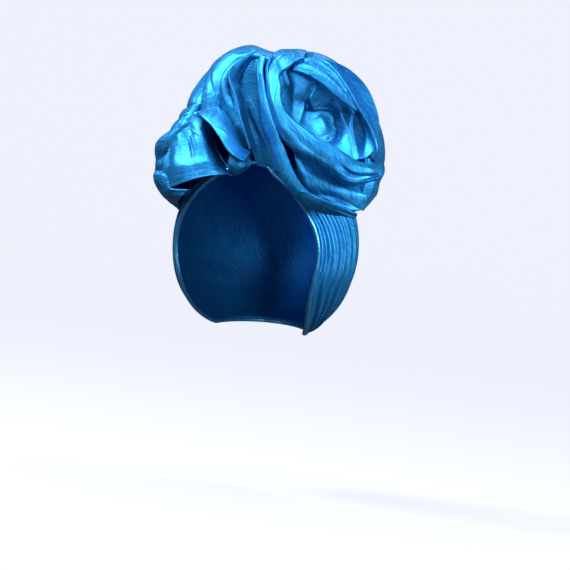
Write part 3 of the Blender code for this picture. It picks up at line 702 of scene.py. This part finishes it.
def bowl(rows, around, wide):
    """A bowl worked out in turns about its eye: the radius grows with the way out, and the depth
    rises as its 1.5th power; each row's values are read off a smoothed closed curve of the angle."""
    rows = np.array(rows, float)
    closed = np.concatenate([rows, rows[:1] + np.array([360.0, 0.0, 0.0])])
    turns = np.linspace(0.0, 360.0, around + 1)[:-1]
    reach, rim = (smoothed(np.interp(turns, closed[:, 0], closed[:, j]), 60) for j in (1, 2))
    way = np.linspace(0.0, 1.0, wide)[None, :] ** 0.8
    turned = np.radians(turns)[:, None]
    radius = reach[:, None] * np.maximum(way, 0.004)
    across = HEART_EYE[0] + radius * np.cos(turned)
    up = HEART_EYE[1] + radius * np.sin(turned)
    return displayed(np.stack([across, up, HEART_EYE[2] + (rim[:, None] - HEART_EYE[2]) * way**1.5], axis=-1))


grid = bowl(HEART_BOWL, around=380, wide=128)
grid = folded(np.concatenate([grid, grid[:1]])[::-1], HEART_FOLDS)[:-1]
# The cloth lies flat in the bowl, its weft slanting up to the left by a 3-4-5 triangle.
across, up = as_displayed(grid)[..., 0], as_displayed(grid)[..., 1]
heart_mm = np.stack([across * 0.6 + up * 0.8, up * 0.6 - across * 0.8, 0 * up], axis=-1)
heart = sheet_object("dressed_rosette_heart", grid, heart_mm, azure_dupioni, ring=True)
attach(heart, "root")
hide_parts("rosette_heart")

# The rosette's bands
# Lengths of doubled taffeta wound round the heart, each with its fold outward as a soft raised rim.
# They are caught by stitches at the back, and their right ends are tucked in together.
OUTER_BAND = (
    (-38.5, 42, 14, -43, 44, 6, 1),
    (-41, 31, 18, -45, 30, 11, 1),
    (-39.5, 17, 21, -44.5, 15, 13, 1),
    (-37, 4, 23, -43.5, 2, 14, 1.5),
    (-33.5, -9, 25, -41.5, -12, 14, 1.5),
    (-30, -19, 26, -39, -22, 14, 1.5),
    (-26, -29.5, 26, -35, -32, 13, 2),
    (-21, -40.5, 26, -31, -44, 16, 2),
    (-17.5, -50, 26, -27, -54, 17, 2),
    (-13.5, -59, 26, -23, -64, 17, 2),
    (-7, -69, 25, -15, -76, 16, 2),
    (2, -77, 24, -5, -85, 13, 2),
    (13, -82, 23, 7, -91, 8, 2),
    (24, -86, 20, 19, -93.5, 6, 2),
    (33, -90, 14, 30, -94.5, 3, 1.5),
    (39, -92.5, 7, 38, -94.5, -2, 1),
)
grid = swathe(OUTER_BAND, along=420, across=60, full=0.8, inner_roll=(1.2, 5.0), outer_roll=(1.3, 3.0))
grid = crumpled(grid, seed=15, ripple=0.12, creases=6, strain=0.03)
cloth_piece(grid, "outer_wrap", place=15)
FRONT_BAND = (
    (-25, 35.5, 20, -35, 42, 8, 2),
    (-26.5, 26, 25, -38, 30, 14, 3),
    (-25.5, 15.5, 29, -37, 15.5, 17, 3.5),
    (-25, 4, 32, -35, 1.5, 19, 4),
    (-21, -7, 34, -31.5, -13, 20, 4),
    (-13, -15.5, 36, -26, -26, 22, 5),
    (-3.5, -22.5, 37, -18, -36, 23, 6),
    (6, -29, 37, -7, -46, 25, 7),
    (16, -34, 36, 7, -54, 26, 7),
    (26.5, -40.5, 35, 19, -62.5, 25, 7),
    (36, -46.5, 32, 33, -69.5, 23, 6),
    (45.5, -50, 28, 48.5, -66, 16, 5),
    (53.5, -52.5, 20, 58.5, -63, 5, 3),
)
FRONT_FOLDS = (
    (-33, 24, -31, 4, -24, -20, 2.5, 4.0, 1.6),
    (-22, -6, -6, -34, 24, -50, 5.0, 3.0, -1.4),
    (26, -52, 38, -60, 57, -60, 1.4, 4.0, -3.2),
    (28, -46, 40, -53, 55, -56, 3.0, 3.0, 1.6),
)
grid = swathe(FRONT_BAND, along=360, across=100, full=0.75, inner_roll=(1.8, 6.0), outer_roll=(1.8, 6.0))
grid = crumpled(folded(grid, FRONT_FOLDS), seed=16, ripple=0.2, creases=12, strain=0.05)
cloth_piece(grid, "front_wrap", place=16)
LOWER_BAND = (
    (-14, -40, 18, -5.5, -70, 14, 2),
    (-6, -45, 19, 0, -76, 16, 4),
    (4, -50.5, 18, 10, -80.5, 16, 5),
    (17, -57.5, 16, 22.5, -85, 15, 5),
    (31, -62, 13, 34.5, -89, 10, 4),
    (45, -61, 9, 46, -86.5, 1, 3),
    (58, -57, -2, 56, -76, -7, 2),
)
LOWER_FOLDS = (
    (0, -76, 20, -79, 38, -87, 4.0, 2.0, -2.5),
    (14, -66, 28, -72, 44, -78, 4.0, 4.0, 2.0),
)
grid = folded(swathe(LOWER_BAND, along=240, across=90, outer_roll=(1.6, 3.0)), LOWER_FOLDS)
grid = crumpled(grid, seed=17, ripple=0.2, creases=8, strain=0.04)
cloth_piece(grid, "lower_wrap", place=17)
TOP_FACET = (
    (-26.5, 26.5, 24, -31, 45, 8, 2),
    (-22.5, 30, 29, -26, 48, 10, 2),
    (-17, 34.5, 31, -16.5, 48.5, 11, 2),
    (-11, 39, 31, -8.5, 48.5, 11, 1.5),
    (-5, 41, 28, -3, 47, 10, 1),
)
grid = swathe(TOP_FACET, along=140, across=80, inner_roll=(1.0, 4.0))
grid = crumpled(grid, seed=18, ripple=0.2, creases=4, strain=0.04)
cloth_piece(grid, "top_flap", place=18)
UPPER_BAND = (
    (-14.5, 30, 27, -12, 36, 26, 0.5),
    (-6, 27.5, 28, -1, 40, 24, 1.5),
    (2, 24, 28, 9, 39, 22, 2.5),
    (10, 18.5, 28, 18, 33.5, 22, 3),
    (18.5, 11, 28, 26.5, 24.5, 23, 3),
    (28, 2.5, 27, 33, 11, 25, 2),
    (38.5, -5.5, 24, 40, -3, 24, 0.5),
)
UPPER_FOLDS = ((-6, 37, 14, 30, 33, 7, 1.4, 3.0, -2.0),)
grid = swathe(UPPER_BAND, along=240, across=90, inner_roll=(1.4, 6.0), outer_roll=(1.4, 6.0))
grid = crumpled(folded(grid, UPPER_FOLDS), seed=19, ripple=0.15, creases=6, strain=0.07)
cloth_piece(grid, "upper_wrap", place=19)
OUTER_ROLL = (
    (-8, 40.5, 13, -6.5, 47.5, 4, 1),
    (4, 40.5, 19, 5, 45, 0, 2),
    (15, 36.5, 23, 18, 37.5, -5, 3),
    (24, 27.5, 25, 29.5, 27, -9, 4),
    (34, 12, 26, 41, 15.5, -12, 4),
    (43, -4, 26, 49.5, 2, -14, 4),
    (50, -15.5, 25, 57, -15, -16, 4),
    (54.5, -27, 23, 61.5, -32, -18, 4),
    (56, -37, 19, 63, -46, -18, 3),
    (53, -46.5, 13, 61, -58, -16, 2),
)
ROLL_FOLDS = (
    (10, 41, 36, 20, 55, -24, 1.4, 3.0, -2.5),
    (4, 44, 34, 24, 58, -20, 3.0, 3.0, 1.6),
)
grid = folded(swathe(OUTER_ROLL, along=320, across=90, inner_roll=(1.5, 6.0)), ROLL_FOLDS)
grid = crumpled(grid, seed=20, ripple=0.2, creases=12, strain=0.05)
cloth_piece(grid, "outer_roll", place=20)
TUCKED_END = (
    (45, -44, 12, 60, -44, -4, 2),
    (46.5, -51, 16, 63, -51, -6, 3),
    (48.5, -58, 17, 62.5, -58, -8, 4),
    (46.5, -64.5, 16, 58.5, -65.5, -8, 4),
    (43.5, -74, 12, 54.5, -76, -8, 3),
    (37, -86, 6, 45, -89.5, -7, 2),
)
grid = crumpled(swathe(TUCKED_END, along=160, across=70), seed=21, ripple=0.4, creases=12)
cloth_piece(grid, "end_lobe", place=21)

# The room it is shown in
# A plain pale studio floor that curves up all round to a low wall, with soft lights above, at both
# sides and, weaker, in front. The paint glows evenly, as a well lit wall does, and sends none of its
# own light to the piece.
TARGET_M = np.array([0.0197, 0.0064, -0.1171])
CAMERA_M = 2.5
CAMERA_RISE = math.radians(1.0)
SENSOR_MM = 36.0
LENS_MM = 181.5
FLOOR_M = 3.6
BEND_M = 1.4
WALL_M = 3.0
FLOOR_DEPTH_M = 0.30
AIR_STRENGTH = 0.09

# The floor's profile, flat, a quarter circle and a wall, carried once round the middle.
turn = np.linspace(0.0, 2 * math.pi, 129)[:-1]
curve = np.linspace(0.1, math.pi / 2, 16)
radius = np.concatenate(
    [[0.01], np.linspace(0.5, FLOOR_M, 8), FLOOR_M + BEND_M * np.sin(curve), [FLOOR_M + BEND_M]]
)
height = np.concatenate([np.zeros(9), BEND_M - BEND_M * np.cos(curve), [WALL_M]]) - FLOOR_DEPTH_M
floor_m = np.stack(
    [radius * np.cos(turn)[:, None], radius * np.sin(turn)[:, None], height + 0 * turn[:, None]], axis=-1
)
paint = bpy.data.materials.new("pale_studio_paint")
paint.use_nodes = True
flat_paint = next(n for n in paint.node_tree.nodes if n.type == "BSDF_PRINCIPLED")
flat_paint.inputs["Base Color"].default_value = linear("#52545A")
flat_paint.inputs["Roughness"].default_value = 0.9
flat_paint.inputs["Specular IOR Level"].default_value = 0.0
flat_paint.inputs["Emission Color"].default_value = linear("#ECEFF9")
flat_paint.inputs["Emission Strength"].default_value = 1.0
studio = sheet_object("studio_floor", floor_m * 1000.0, floor_m, paint, ring=True, thick=5.0)
studio.visible_diffuse = False
studio.visible_glossy = False
studio.visible_shadow = False

forward = np.array([-math.sin(DISPLAY_TURN), math.cos(DISPLAY_TURN), 0.0])
forward = math.cos(CAMERA_RISE) * forward - math.sin(CAMERA_RISE) * UPRIGHT
right = unit(np.cross(forward, UPRIGHT))
above = np.cross(right, forward)
rolled_right = math.cos(DISPLAY_LEAN) * right + math.sin(DISPLAY_LEAN) * above
rolled_above = math.cos(DISPLAY_LEAN) * above - math.sin(DISPLAY_LEAN) * right


def aimed(obj, place, right, above, forward):
    """Stands a camera or light at a place, its own axes turned to right, above and backward."""
    rows = np.stack([right, above, -forward, place], axis=1)
    obj.matrix_world = mathutils.Matrix([*rows.tolist(), [0.0, 0.0, 0.0, 1.0]])


camera_data = bpy.data.cameras.new("camera")
camera_data.sensor_width = SENSOR_MM
camera_data.lens = LENS_MM
camera = bpy.data.objects.new("camera", camera_data)
bpy.context.scene.collection.objects.link(camera)
aimed(camera, TARGET_M - forward * CAMERA_M, rolled_right, rolled_above, forward)
bpy.context.scene.camera = camera

# name, turned from the camera (degrees to its right), rise_deg, away_m, size_m, watts
SOFT_LIGHTS = (
    ("overhead", -24, 66, 1.5, 0.60, 20),
    ("high_left", -84, 44, 1.5, 0.50, 32),
    ("high_right", 70, 14, 1.6, 0.50, 24),
    ("front_left", -40, 10, 2.2, 0.50, 4),
    ("front_right", 22, 4, 2.2, 0.60, 18),
    ("from_behind", 168, 58, 1.8, 0.60, 4),
)
LIT_POINT_M = np.array([0.0, -0.02, -0.03])
for name, turned, rise, away_m, size_m, watts in SOFT_LIGHTS:
    a, e = DISPLAY_TURN + math.radians(turned), math.radians(rise)
    way = np.array([math.sin(a) * math.cos(e), -math.cos(a) * math.cos(e), math.sin(e)])
    lamp_data = bpy.data.lights.new(name, "AREA")
    lamp_data.shape = "DISK"
    lamp_data.size = size_m
    lamp_data.energy = watts
    lamp = bpy.data.objects.new(name, lamp_data)
    bpy.context.scene.collection.objects.link(lamp)
    side = unit(np.cross(-way, UPRIGHT))
    aimed(lamp, LIT_POINT_M + way * away_m, side, np.cross(side, -way), -way)

world = bpy.data.worlds.new("pale_air")
world.use_nodes = True
air = next(n for n in world.node_tree.nodes if n.type == "BACKGROUND")
air.inputs["Color"].default_value = linear("#EEF2FD")
air.inputs["Strength"].default_value = AIR_STRENGTH
bpy.context.scene.world = world
bpy.context.scene.view_settings.view_transform = "Standard"

bpy.context.view_layer.update()
